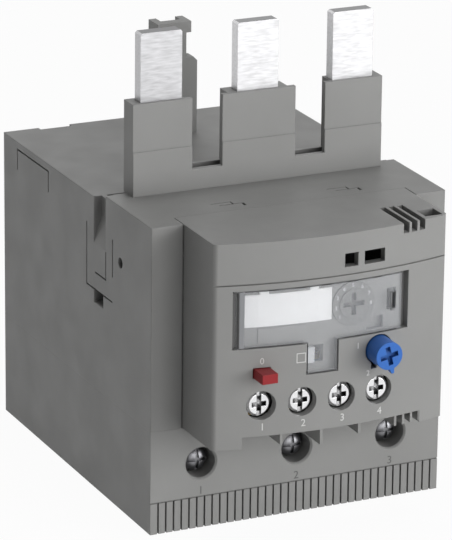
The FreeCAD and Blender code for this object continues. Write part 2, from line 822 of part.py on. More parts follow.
def cover_openings():
    """Bores and openings for the small terminals, the dial, the buttons and the test slide."""
    cuts = []
    for x in AUX.values():
        cuts.append(rod(x, "aux_height", "aux_bore", AHEAD, BEHIND))
        cuts.append(block(("%s - aux_entry/2" % x, "%s + aux_entry/2" % x),
                          (bow(x) + " + aux_lead", "strip_front"),
                          ("cover_skirt - floor_thick", COVER_FLOOR + " + floor_thick")))
    cuts.append(block(("catch_left", "catch_right"), (AHEAD, BEHIND), ("catch_low", "catch_high")))
    cuts.append(rod("dial_x", "dial_z", "dial_radius + run_gap/2", AHEAD, BEHIND))
    cuts.append(rod("reset_x", "reset_z", "reset_radius + reset_gap", AHEAD, BEHIND))
    cuts.append(block(("reset_x - key_left", "reset_x - key_right"), (AHEAD, BEHIND),
                      ("reset_z - key_reach", "reset_z")))
    cuts.append(block(("stop_x - stop_width/2 - run_gap/2", "stop_x + stop_width/2 + run_gap/2"),
                      (AHEAD, BEHIND),
                      ("stop_z - stop_height/2 - run_gap/2", "stop_z + stop_height/2 + run_gap/2")))
    cuts.append(block(("test_left - run_gap/2", "test_left + test_width + test_travel + run_gap/2"),
                      (AHEAD, BEHIND), ("test_low - run_gap/2", "test_high + run_gap/2")))
    for x in (("slot_left", "slot_left + slot_short"), ("slot_right - slot_long", "slot_right")):
        cuts.append(block(x, (AHEAD, BEHIND), ("pan_high + slot_rise", "pan_high + slot_rise + slot_height")))
    return cuts


def cover_top_cuts():
    """Vents, corner pocket and the step under the lip of the housing."""
    above = "(front_height + overshoot)"
    cuts = []
    for k in range(3):
        left = "vent_left + %d*vent_spacing" % k
        cuts.append(block((left, left + " + vent_width"), (AHEAD, "vent_back"),
                          ("front_height - vent_depth", above)))
    cuts.append(block(("pocket_left", "pocket_left + pocket_width"),
                      ("pocket_front", "pocket_front + pocket_length"),
                      ("front_height - pocket_depth", above)))
    cuts.append(block(("-" + HALF, HALF), ("lip_reach", "cover_insert + overshoot"),
                      ("front_height - cover_wall - seat_gap", above)))
    return cuts


def cover_fins():
    """Partition ribs that hang between the wire entries below the cover."""
    fins = []
    for k in range(4):
        drop = "fin_drop*1.5" if k == 1 else "fin_drop"
        fins.append(fin("(aux_left + %s*aux_pitch)" % (k + 0.5), drop))
    for k in (1, 2, 3):
        fins.append(fin("(aux_left + 3.5*aux_pitch + %d*vent_spacing)" % k, "fin_drop"))
    return fins


def fin(x, drop):
    return inside_bow(block(("%s - fin_thick/2" % x, "%s + fin_thick/2" % x),
                            (AHEAD, bow("0") + " + fin_length"),
                            ("cover_skirt - " + drop, "cover_skirt + floor_thick/2")), "seat_gap")


def make_aux_block():
    """Insulating block behind the cover that carries the four small terminals."""
    body = new_body("aux_terminal_block")
    front = "(%s + seat_gap)" % bow("(aux_left - block_margin)", "cover_wall")
    pad(body, "XZ", front, "block_back",
        rect("aux_left - block_margin", "aux_left + 3*aux_pitch + block_margin", BLOCK_LOW, "block_top"))
    wide = "(strip_width/2 + seat_gap)"
    shank = "aux_shank + run_gap"
    chambers = [around(x, "aux_bore", "aux_height", "aux_bore") for x in AUX.values()]
    entries = [rect("%s - aux_entry/2" % x, "%s + aux_entry/2" % x, BLOCK_LOW, "aux_height")
               for x in AUX.values()]
    slots = [rect("%s - %s" % (x, wide), "%s + %s" % (x, wide), BLOCK_LOW + " + slot_floor", "block_top")
             for x in AUX.values()]
    holes = [around(x, shank, "aux_height", shank) for x in AUX.values()]
    pocket(body, "XZ", front, "strip_front", *chambers)
    pocket(body, "XZ", front, "strip_front", *entries)
    pocket(body, "XZ", "strip_front", STRIP_REAR, *slots)
    pocket(body, "XZ", STRIP_REAR, "block_back", *holes)


def edge_limit(body):
    """Depth just behind the front face of a body's newest feature."""
    box = body.Tip.Shape.BoundBox
    return box.YMin + 0.1*box.YLength


def make_aux_terminal(number, x):
    """Screw, forked clamp plate and contact strip of one small terminal."""
    face = "(%s + aux_sink)" % bow(x)
    rear = "(%s + aux_head_thick)" % face
    body = new_body("aux_screw_" + number)
    pad(body, "XZ", face, rear, (x, "aux_height", "aux_head"))
    chamfer_edges(body, "aux_round", lambda edge: edge.Closed and edge.BoundBox.YMin < edge_limit(body))
    pad(body, "XZ", rear, "aux_end", (x, "aux_height", "aux_shank"))
    pocket(body, "XZ", face, face + " + aux_slot/2",
           around(x, "aux_slot/2", "aux_height", "aux_head + run_gap"))
    pocket(body, "XZ", face, face + " + cross_depth",
           plus_sign(x, "aux_height", "aux_cross", "cross_width/2"))

    body = new_body("aux_washer_" + number)
    left, right, low = "%s - aux_washer" % x, "%s + aux_washer" % x, "aux_height - aux_washer"
    grip_left, grip_right = "%s - aux_shank - thread_gap" % x, "%s + aux_shank + thread_gap" % x
    grip_top = "aux_height + aux_shank + thread_gap"
    forked = [(left, low), (grip_left, low), (grip_left, grip_top), (grip_right, grip_top), (grip_right, low),
              (right, low), (right, "aux_height + aux_washer"), (left, "aux_height + aux_washer")]
    pad(body, "XZ", rear, rear + " + aux_washer_thick", forked)

    body = new_body("contact_strip_" + number)
    leg = "(block_top + seat_gap)"
    opens = number in "12"
    lift = "contact_height" if opens else "(contact_height + slider_travel + 2*contact_thick + 2*seat_gap)"
    pad(body, "YZ", "%s - strip_width/2" % x, "%s + strip_width/2" % x,
        rect("strip_front", STRIP_REAR, BLOCK_LOW + " + slot_floor + run_gap", leg + " + strip_thick"))
    shape = [(STRIP_REAR, leg), (RISER + " + strip_thick", leg), (RISER + " + strip_thick", lift),
             (RISER, lift), (RISER, leg + " + strip_thick"), (STRIP_REAR, leg + " + strip_thick")]
    left, right = "%s - riser_width/2" % x, "%s + riser_width/2" % x
    pad(body, "YZ", left, right, shape)
    if not opens:
        pad(body, "YZ", left, right, rect(RISER + " - contact_lip", RISER, lift + " - contact_thick", lift))
    pocket(body, "XZ", "strip_front", STRIP_REAR,
           around(x, "aux_shank + thread_gap", "aux_height", "aux_shank + thread_gap"))


def make_dial():
    """Current setting dial with its ring, cross slot, shaft and cam."""
    body = new_body("setting_dial")
    face = "(%s)" % bow("dial_x", "dial_sink")
    rear = "(%s + dial_head)" % face
    pad(body, "XZ", face, rear, ("dial_x", "dial_z", "dial_radius"))
    pad(body, "XZ", face + " + ring_step", face + " + ring_step + ring_thick",
        ("dial_x", "dial_z", "ring_radius"))
    pad(body, "XZ", face, FRAME_REAR + " + dial_over", around("dial_x", "dial_shaft", "dial_z", "dial_shaft"))
    pad(body, "XZ", rear + " + cam_set", rear + " + cam_set + cam_thick",
        hexagon("(dial_x + cam_offset)", "dial_z", "cam_radius"))
    pocket(body, "XZ", face, face + " + cross_depth",
           plus_sign("dial_x", "dial_z", "dial_radius*0.75", "cross_width/2"))


def make_reset():
    """Reset knob that turns on a sprung plunger."""
    face = "(%s - reset_stand)" % bow("reset_x")
    bore = "(%s + reset_front)" % face
    wall = "(%s + pan_depth + pan_back)" % bow("(reset_x + collar_half)")
    body = new_body("reset_knob")
    pad(body, "XZ", face, wall, ("reset_x", "reset_z", "reset_radius"))
    rim, tip = "reset_z - reset_radius*0.9", "reset_z - reset_radius - pointer_reach"
    pointer = [("reset_x - pointer_half", rim), ("reset_x - pointer_half/2", tip),
               ("reset_x + pointer_half/2", tip), ("reset_x + pointer_half", rim)]
    pad(body, "XZ", face, face + " + pointer_thick", turned(pointer, "reset_x", "reset_z", KNOB_TURN))
    pocket(body, "XZ", bore, wall, ("reset_x", "reset_z", "plunger_nose + thread_gap"))
    pocket(body, "XZ", face, face + " + cross_depth",
           turned(plus_sign("reset_x", "reset_z", "reset_radius*0.68", "cross_width/2"),
                  "reset_x", "reset_z", KNOB_TURN))

    body = new_body("reset_plunger")
    collar = "(%s + run_gap)" % wall
    pad(body, "XZ", bore + " + thread_gap", collar, ("reset_x", "reset_z", "plunger_nose"))
    pad(body, "XZ", collar, collar + " + collar_thick",
        around("reset_x", "collar_half", "reset_z", "collar_half"))
    pad(body, "XZ", collar, "frame_front - run_gap",
        around("reset_x", "plunger_half", "reset_z", "plunger_half"))


def make_stop():
    """Stop button with its collar and stem."""
    face = "(%s - stop_stand)" % bow("stop_x")
    wall = "(%s + cover_wall + run_gap)" % bow("(stop_x - stop_width/2 - collar_step)")
    body = new_body("stop_button")
    pad(body, "XZ", face, wall, around("stop_x", "stop_width/2", "stop_z", "stop_height/2"))
    pad(body, "XZ", wall, wall + " + collar_thick",
        around("stop_x", "stop_width/2 + collar_step", "stop_z", "stop_height/2 + collar_step"))
    pad(body, "XZ", wall, "frame_front - run_gap", around("stop_x", "stem_half", "stop_z", "stem_half"))


def make_test_slide():
    """Small test slide behind the tongue of the window."""
    body = new_body("test_slide")
    right = "test_left + test_width"
    face = "(%s + window_thick + window_gap)" % bow("test_left")
    wall = "(%s + pan_depth + pan_back + run_gap)" % bow("(test_left - collar_step)")
    pad(body, "XZ", face, wall, rect("test_left", right, "test_low", "test_high"))
    pad(body, "XZ", wall, wall + " + collar_thick",
        rect("test_left - collar_step", right + " + collar_step/2", "test_low - collar_step",
             "test_high + collar_step/2"))
    pad(body, "XZ", wall, "frame_front - run_gap",
        rect("test_left", right, "test_low", "test_low + test_stem"))


def window_pivot():
    """Place of the window's hinge line."""
    hinge_x = "(window_left + hinge_lip)"
    return hinge_x, bow(hinge_x) + " + hinge_set"


def make_window():
    """Clear cover over the label, the dial and the test slide, hinged on its left side."""
    low = "(pan_low + window_gap)"
    high = "(pan_high - window_gap)"
    flat = joined([block(("window_left", "window_right"), (AHEAD, "0"), (low, high)),
                   block(("tab_left + window_gap", "tab_right - window_gap"), (AHEAD, "0"),
                         ("tab_low + window_gap", low + " + overshoot"))])
    tall = ("catch_low + run_gap", "catch_high - run_gap")
    hook = "catch_right - run_gap - catch_hook"
    opening = block(("catch_left + run_gap", hook), (AHEAD, "0"), tall)
    pane = outside_bow(inside_bow(less(flat, opening), "window_gap/10"), "window_thick")
    catch = block((hook, "catch_right - run_gap"), (AHEAD, "0"), tall)
    catch = outside_bow(inside_bow(catch, "window_thick/2"), "pan_depth + catch_depth/2")
    hinge_x, pivot = window_pivot()
    pins = [post(hinge_x, pivot, "hinge_pin", "pan_low - hinge_reach", low + " + hinge_reach"),
            post(hinge_x, pivot, "hinge_pin", high + " - hinge_reach", "pan_high + hinge_reach")]
    finish(joined([pane, catch] + pins), "window_cover")


def make_label():
    """Blank rating card with two small tabs on its upper edge."""
    parts = [block(("label_left", "label_right"), (AHEAD, "0"), ("label_low", "label_high"))]
    for left in ("label_tab_left", "label_tab_right"):
        parts.append(block((left, left + " + label_tab_width"), (AHEAD, "0"),
                           ("label_low", "label_high + label_tab_rise")))
    finish(outside_bow(inside_bow(joined(parts), "pan_depth - label_thick"), "pan_depth"), "label_card")


def make_frame():
    """Inner frame with its end flanges, carrier guides, spring seat and bearing holes."""
    body = new_body("mechanism_frame")
    pad(body, "XZ", "frame_front", FRAME_REAR,
        rect("-frame_half", "frame_half", "frame_low", "front_height - frame_drop"))
    pad(body, "XY", "frame_low", "flange_high",
        rect("-frame_half", "-frame_half + frame_flange", FRAME_REAR, SEAT_REAR),
        rect("frame_half - frame_flange", "frame_half", FRAME_REAR, SEAT_REAR))
    guide_low, guide_high = "contact_height - guide_drop", "contact_height + guide_rise"
    seat = "contact_height + spring_room"
    pad(body, "XZ", FRAME_REAR, "carrier_front + carrier_thick",
        rect("carrier_left - run_gap - guide_width", "carrier_left - run_gap", guide_low, guide_high),
        rect("carrier_right + run_gap", "carrier_right + run_gap + guide_width", guide_low, guide_high),
        rect("spring_x - spring_seat", "spring_x + spring_seat", seat, seat + " + seat_thick"))
    pocket(body, "XZ", "frame_front", FRAME_REAR, ("dial_x", "dial_z", "dial_shaft*sqrt(2) + run_gap/2"),
           around("reset_x", "plunger_half + run_gap", "reset_z", "plunger_half + run_gap"),
           around("stop_x", "stem_half + run_gap", "stop_z", "stem_half + run_gap"),
           ("pin_x", "pin_z", "pin_radius"))

    body = new_body("lever_pin")
    pad(body, "XZ", "frame_front", LEVER_REAR + " + pin_over", ("pin_x", "pin_z", "pin_radius"))


def make_slider():
    """Trip slider with one finger beside each bimetal strip and a nose that pushes the lever."""
    body = new_body("trip_slider")
    rear = "(slider_front + slider_thick)"
    edge = "(bimetal_thick/2 + run_gap - bimetal_offset)"
    pad(body, "XZ", "slider_front", rear,
        rect("-pole_pitch + " + edge, "pole_pitch + finger_width + " + edge, "slider_low", "slider_high"))
    fingers = [rect("%s + %s" % (x, edge), "%s + finger_width + %s" % (x, edge), "slider_low", "slider_high")
               for x in POLES.values()]
    pad(body, "XZ", rear, "finger_end", *fingers)
    nose = "pin_x - comp_half - push_gap"
    pad(body, "XZ", "lever_front + pin_over", "slider_front",
        rect(nose + " - finger_width", nose, "slider_low + push_drop", "slider_high"))


def make_lever():
    """Trip lever on its pin with the compensation strip that the slider pushes."""
    body = new_body("trip_lever")
    tip = "pin_x - lever_reach - lever_pad"
    elbow = [(tip, "pin_z - lever_half"), ("pin_x - lever_hub", "pin_z - lever_half"),
             ("pin_x - lever_hub", "pin_z - lever_hub"), ("pin_x + lever_hub", "pin_z - lever_hub"),
             ("pin_x + lever_hub", "pin_z + lever_hub"), ("pin_x + lever_half", "pin_z + lever_head"),
             ("pin_x - lever_half", "pin_z + lever_head"), ("pin_x - lever_hub", "pin_z + lever_half"),
             (tip, "pin_z + lever_half")]
    pad(body, "XZ", "lever_front", LEVER_REAR, elbow)
    pocket(body, "XZ", "lever_front", LEVER_REAR, ("pin_x", "pin_z", "pin_radius + thread_gap"))

    body = new_body("compensation_strip")
    pad(body, "XZ", "lever_front", "slider_front - run_gap",
        rect("pin_x - comp_half", "pin_x + comp_half", "pin_z + lever_head", "slider_high + comp_half"))


def make_contacts():
    """Contact carrier with its break and make contact bridges."""
    top = "contact_height + carrier_height"
    body = new_body("contact_carrier")
    rear = "(carrier_front + carrier_thick)"
    pad(body, "XZ", "carrier_front", rear,
        rect("carrier_left", "carrier_right", "contact_height - carrier_drop", top))
    pad(body, "XZ", rear, LEVER_REAR,
        rect("pin_x - lever_reach - lever_pad", "pin_x - lever_reach + lever_pad",
             "pin_z + lever_half + run_gap", top))

    body = new_body("break_contact")
    low = "(contact_height + seat_gap)"
    pad(body, "XZ", RISER, "carrier_front",
        rect("aux_left - contact_end", "aux_left + aux_pitch + contact_end", low, low + " + contact_thick"))

    body = new_body("make_contact")
    high = "(contact_height + contact_thick + seat_gap)"
    left, right = "(aux_left + 2*aux_pitch)", "(aux_left + 3*aux_pitch)"
    neck = "(aux_left + 2.5*aux_pitch)"
    pad(body, "XZ", RISER + " - contact_lip", RISER + " - seat_gap",
        rect(left + " - contact_end", right + " + contact_end", high + " - contact_thick", high))
    pad(body, "XZ", RISER + " - seat_gap", "carrier_front",
        rect(neck + " - contact_end", neck + " + contact_end", high + " - contact_thick", high))


def coil(name, centre, axis, radius, wire, length, turns):
    """Compression spring of square wire along an axis."""
    steps = 6
    points = []
    for k in range(turns*steps + 1):
        turn = math.tau*k/steps
        points.append(FreeCAD.Vector(radius*math.cos(turn), radius*math.sin(turn),
                                     wire/2 + (length - wire)*k/(turns*steps)))
    path = Part.makePolygon(points)
    half = wire/2
    corners = [FreeCAD.Vector(radius - half, 0, 0), FreeCAD.Vector(radius + half, 0, 0),
               FreeCAD.Vector(radius + half, 0, wire), FreeCAD.Vector(radius - half, 0, wire)]
    pipe = Part.BRepOffsetAPI.MakePipeShell(path)
    pipe.add(Part.makePolygon(corners + corners[:1]))
    pipe.setTransitionMode(1)
    pipe.build()
    pipe.makeSolid()
    shape = pipe.shape()
    shape.Placement = FreeCAD.Placement(centre, FreeCAD.Rotation(FreeCAD.Vector(0, 0, 1), axis))
    spring = doc.addObject("Part::Feature", name)
    spring.Shape = shape
    finish(spring, name)


def make_springs():
    """Springs of the reset plunger, the stop button and the contact carrier."""
    rearward = FreeCAD.Vector(0, 1, 0)
    upward = FreeCAD.Vector(0, 0, 1)
    gap = size_of("seat_gap")
    end = size_of("frame_front") - gap
    drum = size_of("cover_radius")

    def collar_rear(x, depth):
        wall = drum - size_of("cover_reach") - math.sqrt(drum**2 - x**2) + depth
        return wall + size_of("run_gap") + size_of("collar_thick") + gap

    start = collar_rear(size_of("reset_x") + size_of("collar_half"),
                        size_of("pan_depth") + size_of("pan_back"))
    coil("reset_spring", FreeCAD.Vector(size_of("reset_x"), start, size_of("reset_z")), rearward,
         size_of("reset_coil"), size_of("reset_wire"), end - start, 4)
    start = collar_rear(size_of("stop_x") - size_of("stop_width")/2 - size_of("collar_step"),
                        size_of("cover_wall"))
    coil("stop_spring", FreeCAD.Vector(size_of("stop_x"), start, size_of("stop_z")), rearward,
         size_of("stop_coil"), size_of("stop_wire"), end - start, 4)
    low = size_of("contact_height") + size_of("carrier_height") + gap
    high = size_of("contact_height") + size_of("spring_room") - gap
    middle = size_of("carrier_front") + size_of("carrier_coil_set")
    coil("carrier_spring", FreeCAD.Vector(size_of("spring_x"), middle, low), upward,
         size_of("carrier_coil"), size_of("carrier_wire"), high - low, 4)


def make_shroud():
    """Insulating shroud: one plate with three fingers that sleeve the connection bars."""
    body = new_body("terminal_shroud")
    top = "(front_height + shroud_rise)"
    base = "(front_height + comb_rise)"
    right = "(gap_middle + gap_width/2)"
    left = "(gap_middle - gap_width/2)"

    def comb(high):
        return [("-shroud_half", "front_height"), ("shroud_half", "front_height"), ("shroud_half", high),
                (right, high), (right, base), (left, base), (left, high), ("-" + left, high),
                ("-" + left, base), ("-" + right, base), ("-" + right, high), ("-shroud_half", high)]

    pad(body, "XZ", "shroud_front", "shroud_front + shroud_plate", comb(top))
    pad(body, "XZ", "shroud_front - skirt_thick", "shroud_front", comb("(front_height + skirt_rise)"))
    sleeves = [rect("-shroud_half", "-%s - finger_inset" % right, "front_height", top),
               rect("-%s + finger_inset" % left, "%s - finger_inset" % left, "front_height", top),
               rect("%s + finger_inset" % right, "shroud_half", "front_height", top)]
    pad(body, "XZ", "shroud_front + shroud_plate", "shroud_back", *sleeves)
    pad(body, "XZ", "shroud_back - shroud_rear_wall", "shroud_back",
        rect("-shroud_half + shroud_rear_wall", "shroud_half - shroud_rear_wall", "front_height", base))
    pocket(body, "XY", "front_height", top, *bar_slots())


def make_hook():
    """Coupling hook on the top face that latches into the contactor."""
    body = new_body("coupling_hook")
    back = "(hook_front + hook_thick)"
    post_top = "(rear_height + post_rise)"
    head_low = "(rear_height + head_rise)"
    outline = [("-post_half", "rear_height"), ("post_half", "rear_height"),
               ("post_half", post_top + " - post_chamfer"), ("post_half - post_chamfer", post_top),
               ("arm_half", post_top), ("arm_half", head_low), ("-arm_half", head_low),
               ("-arm_half", post_top), ("-post_half + post_chamfer", post_top),
               ("-post_half", post_top + " - post_chamfer")]
    pad(body, "XZ", "hook_front", back, outline)
    prong_end = "hook_front + head_depth"
    web = "hook_front + head_web"
    fork = [("-head_half", "hook_front"), ("head_half", "hook_front"), ("head_half", prong_end),
            ("head_half - prong_width", prong_end), ("head_half - prong_width", web),
            ("-head_half + prong_width", web), ("-head_half + prong_width", prong_end),
            ("-head_half", prong_end)]
    pad(body, "XY", head_low, head_low + " + head_thick", fork)
    pad(body, "XZ", "hook_front", back,
        rect("-head_half", "head_half", "rear_height - hook_foot", "rear_height"))


def check_and_export():
    """Stop on any failed object, then write one file per sub-part."""
    doc.recompute()
    for thing in doc.Objects:
        if "Invalid" in thing.State or "Error" in thing.State:
            raise RuntimeError("failed: %s %s %s" % (thing.Name, thing.Label, thing.State))
    os.makedirs("parts", exist_ok=True)
    for thing in sub_parts:
        if thing.Shape.isNull() or not thing.Shape.isValid():
            raise RuntimeError("bad shape: " + thing.Label)
        thing.Shape.exportStep("parts/%s.step" % thing.Label)
        print(thing.Label, len(thing.Shape.Solids), round(thing.Shape.Volume, 1))


make_housing()
make_terminal_base()
for pole, place in POLES.items():
    make_pole(pole, place)
make_front_cover()
make_aux_block()
for terminal, place in AUX.items():
    make_aux_terminal(terminal, place)
make_dial()
make_reset()
make_stop()
make_test_slide()
make_window()
make_label()
make_frame()
make_slider()
make_lever()
make_contacts()
make_springs()
make_shroud()
make_hook()
check_and_export()
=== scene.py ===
import math
import bmesh
import bpy
from mathutils import Matrix, Vector


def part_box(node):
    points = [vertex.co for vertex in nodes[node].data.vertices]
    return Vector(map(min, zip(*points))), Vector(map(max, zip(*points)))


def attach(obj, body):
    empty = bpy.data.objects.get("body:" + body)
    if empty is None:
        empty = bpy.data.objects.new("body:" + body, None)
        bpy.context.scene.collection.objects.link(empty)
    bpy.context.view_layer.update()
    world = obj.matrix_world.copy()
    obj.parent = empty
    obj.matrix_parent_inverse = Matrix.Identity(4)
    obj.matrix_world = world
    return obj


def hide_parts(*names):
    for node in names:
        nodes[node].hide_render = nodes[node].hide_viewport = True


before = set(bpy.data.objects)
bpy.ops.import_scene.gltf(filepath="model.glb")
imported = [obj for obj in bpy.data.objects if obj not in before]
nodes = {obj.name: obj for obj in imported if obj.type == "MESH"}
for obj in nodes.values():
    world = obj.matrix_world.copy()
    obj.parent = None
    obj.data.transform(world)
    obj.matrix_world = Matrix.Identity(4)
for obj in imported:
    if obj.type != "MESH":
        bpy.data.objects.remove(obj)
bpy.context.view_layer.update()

MM = 0.001

# Front plane of the case, and the face of the cover that bows out in front of it.
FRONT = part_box("terminal_base")[0][1]
BOW_RADIUS = 104*MM
BOW_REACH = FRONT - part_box("front_cover")[0][1]

# Pan in the cover's face: its height range, its depth, and the tab that leaves it downwards.
PAN_Z = (46.4*MM, 59.4*MM)
PAN_DEPTH = 2.0*MM
TAB_X = (-7.2*MM, 0.25*MM)
TAB_LOW = 39.4*MM


def bow_y(x, sink=0.0):
    """Depth of the bowed cover face at a place across it, sunk by a distance."""
    radius = BOW_RADIUS - sink
    return FRONT - BOW_REACH + BOW_RADIUS - math.sqrt(radius**2 - x**2)


def bow_angle(x):
    """Turn about Z that makes a flat mark lie on the bowed face."""
    return math.asin(x/BOW_RADIUS)


def centre_of(node):
    """Middle of a node across and up, as seen from the front."""
    low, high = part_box(node)
    return (low[0] + high[0])/2, (low[2] + high[2])/2


def moved(span, distance):
    """Range that is moved by a distance."""
    return span[0] + distance, span[1] + distance


def narrowed(span, gap):
    """Range that is shorter by a gap at both ends."""
    return span[0] + gap, span[1] - gap


def numbered(stem, count):
    """Names of repeated pieces, numbered from 1."""
    return [stem + "_" + str(k + 1) for k in range(count)]


# Parts of the materials

# Noise scales of plastic: slow clouding, uneven gloss and fine grain.
CLOUD_SCALE = 70
GLOSS_SCALE = 130
GRAIN_SCALE = 3200

# Most of a noise value lies in this range.
NOISE_RANGE = (0.3, 0.7)

# How much a face points up where the painted shade on upward faces starts, and where it is full.
TOP_SHADE_RANGE = (0.5, 0.9)

# The mix node has a set of sockets for each kind of value, so those for colours go by number.
MIX_SHARE, MIX_FIRST, MIX_SECOND, MIX_RESULT = 0, 6, 7, 2


def start_material(name, colour, roughness, metallic=0.0, gloss=0.5):
    """New material with its shader, its links and its object coordinates."""
    material = bpy.data.materials.new(name)
    material.use_nodes = True
    tree = material.node_tree
    shader = tree.nodes["Principled BSDF"]
    shader.inputs["Base Color"].default_value = (*colour, 1)
    shader.inputs["Roughness"].default_value = roughness
    shader.inputs["Metallic"].default_value = metallic
    shader.inputs["Specular IOR Level"].default_value = gloss
    place = tree.nodes.new("ShaderNodeTexCoord").outputs["Object"]
    return material, tree, shader, place


def noise(tree, place, scale, detail=2.0, stretch=(1, 1, 1)):
    """Noise value over the object, with its own scale along each axis."""
    mapping = tree.nodes.new("ShaderNodeMapping")
    mapping.inputs["Scale"].default_value = stretch
    tree.links.new(place, mapping.inputs["Vector"])
    texture = tree.nodes.new("ShaderNodeTexNoise")
    texture.inputs["Scale"].default_value = scale
    texture.inputs["Detail"].default_value = detail
    tree.links.new(mapping.outputs[0], texture.inputs["Vector"])
    return texture.outputs["Fac"]


def ranged(tree, value, source, target):
    """Value taken from one range to another, and held inside it."""
    mapped = tree.nodes.new("ShaderNodeMapRange")
    mapped.inputs["From Min"].default_value, mapped.inputs["From Max"].default_value = source
    mapped.inputs["To Min"].default_value, mapped.inputs["To Max"].default_value = target
    tree.links.new(value, mapped.inputs["Value"])
    return mapped.outputs["Result"]


def roughen(tree, shader, value, low, high):
    """Roughness that follows a noise value."""
    tree.links.new(ranged(tree, value, NOISE_RANGE, (low, high)), shader.inputs["Roughness"])


def blend_colours(tree, value, first, second):
    """Colour between two tints."""
    mix = tree.nodes.new("ShaderNodeMix")
    mix.data_type = "RGBA"
    mix.inputs[MIX_FIRST].default_value = (*first, 1)
    mix.inputs[MIX_SECOND].default_value = (*second, 1)
    tree.links.new(value, mix.inputs[MIX_SHARE])
    return mix.outputs[MIX_RESULT]


def tone(colour, factor):
    """Lighter or darker colour."""
    return tuple(min(1.0, c*factor) for c in colour)


def clouded(tree, value, colour, contrast):
    """Colour that a noise value makes a little darker and lighter."""
    share = ranged(tree, value, NOISE_RANGE, (0, 1))
    return blend_colours(tree, share, tone(colour, 1 - contrast), tone(colour, 1 + contrast))


def scaled_colour(tree, colour, level):
    """Colour times a level."""
    scaled = tree.nodes.new("ShaderNodeVectorMath")
    scaled.operation = "SCALE"
    tree.links.new(colour, scaled.inputs[0])
    tree.links.new(level, scaled.inputs["Scale"])
    return scaled.outputs[0]


def paint_shade(tree, colour, reach, depth, openness=(0.0, 1.0), local=False):
    """Painted shade: colour darkened by ambient occlusion in slots, corners and recesses within a distance.
    """
    near = tree.nodes.new("ShaderNodeAmbientOcclusion")
    near.samples = 6
    near.only_local = local
    near.inputs["Distance"].default_value = reach
    return scaled_colour(tree, colour, ranged(tree, near.outputs["AO"], openness, (1 - depth, 1.0)))


def shade_top_faces(tree, place, colour, share):
    """Painted shade: colour that is darker on faces that point up."""
    parts = tree.nodes.new("ShaderNodeSeparateXYZ")
    tree.links.new(place.node.outputs["Normal"], parts.inputs[0])
    return scaled_colour(tree, colour, ranged(tree, parts.outputs["Z"], TOP_SHADE_RANGE, (1.0, share)))


def rounded(tree, radius):
    """Normal that rounds every edge."""
    bevel = tree.nodes.new("ShaderNodeBevel")
    bevel.samples = 4
    bevel.inputs["Radius"].default_value = radius
    return bevel.outputs["Normal"]


def add_bump(tree, shader, value, depth, edge=0.0):
    """Relief from a value, on edges that are rounded where a radius is given."""
    bump = tree.nodes.new("ShaderNodeBump")
    bump.inputs["Strength"].default_value = 1.0
    bump.inputs["Distance"].default_value = depth
    tree.links.new(value, bump.inputs["Height"])
    if edge:
        tree.links.new(rounded(tree, edge), bump.inputs["Normal"])
    tree.links.new(bump.outputs["Normal"], shader.inputs["Normal"])


# Materials


def plastic(name, colour, roughness=0.5, grain=0.012*MM, edge=0.25*MM, contrast=0.03, painted_shade=0.45,
            local=False, gloss=0.5, wide=1.0):
    """Moulded plastic: fine eroded grain, slight clouding, softly rounded edges and painted shade in its
    recesses.
    """
    material, tree, shader, place = start_material(name, colour, roughness, gloss=gloss)
    tint = clouded(tree, noise(tree, place, CLOUD_SCALE, detail=3), colour, contrast)
    # Shade is painted into the colour in slots, corners and recesses.
    tint = paint_shade(tree, tint, reach=6*MM, depth=painted_shade, openness=(0.0, wide), local=local)
    tree.links.new(tint, shader.inputs["Base Color"])
    roughen(tree, shader, noise(tree, place, GLOSS_SCALE), roughness - 0.05, roughness + 0.05)
    add_bump(tree, shader, noise(tree, place, GRAIN_SCALE), grain, edge)
    return material


def metal(name, colour, roughness, stretch, contrast=0.08, scale=900, top_shade=1.0):
    """Metal with drawn or brushed streaks along one axis, and painted shade in slots, corners and on faces
    that point up.
    """
    material, tree, shader, place = start_material(name, colour, roughness, metallic=1.0)
    streaks = noise(tree, place, scale, detail=4, stretch=stretch)
    # Shade is painted into the colour on faces that point up, and in slots and corners.
    tint = shade_top_faces(tree, place, clouded(tree, streaks, colour, contrast), top_shade)
    tree.links.new(paint_shade(tree, tint, reach=2*MM, depth=0.6), shader.inputs["Base Color"])
    roughen(tree, shader, streaks, roughness - 0.06, roughness + 0.08)
    add_bump(tree, shader, streaks, depth=0.004*MM, edge=0.12*MM)
    return material


def turned_metal(name, colour, roughness, centre, painted_shade=0.97):
    """Bright plated head with fine turning rings around its axis along Y, and painted shade in its own slots
    and recesses.
    """
    material, tree, shader, place = start_material(name, colour, roughness, metallic=1.0)
    mapping = tree.nodes.new("ShaderNodeMapping")
    mapping.inputs["Location"].default_value = (-centre[0], 0, -centre[1])
    mapping.inputs["Scale"].default_value = (1, 0, 1)
    tree.links.new(place, mapping.inputs["Vector"])
    rings = tree.nodes.new("ShaderNodeTexWave")
    rings.wave_type = "RINGS"
    rings.rings_direction = "SPHERICAL"
    rings.inputs["Scale"].default_value = 900
    rings.inputs["Distortion"].default_value = 0.6
    tree.links.new(mapping.outputs[0], rings.inputs["Vector"])
    tint = blend_colours(tree, rings.outputs["Fac"], tone(colour, 0.96), tone(colour, 1.03))
    # Shade is painted into the colour in the head's own slots and recesses.
    tint = paint_shade(tree, tint, reach=2*MM, depth=painted_shade, openness=(0.4, 0.85), local=True)
    tree.links.new(tint, shader.inputs["Base Color"])
    roughen(tree, shader, noise(tree, place, scale=500), roughness - 0.05, roughness + 0.08)
    add_bump(tree, shader, rings.outputs["Fac"], depth=0.002*MM, edge=0.15*MM)
    return material


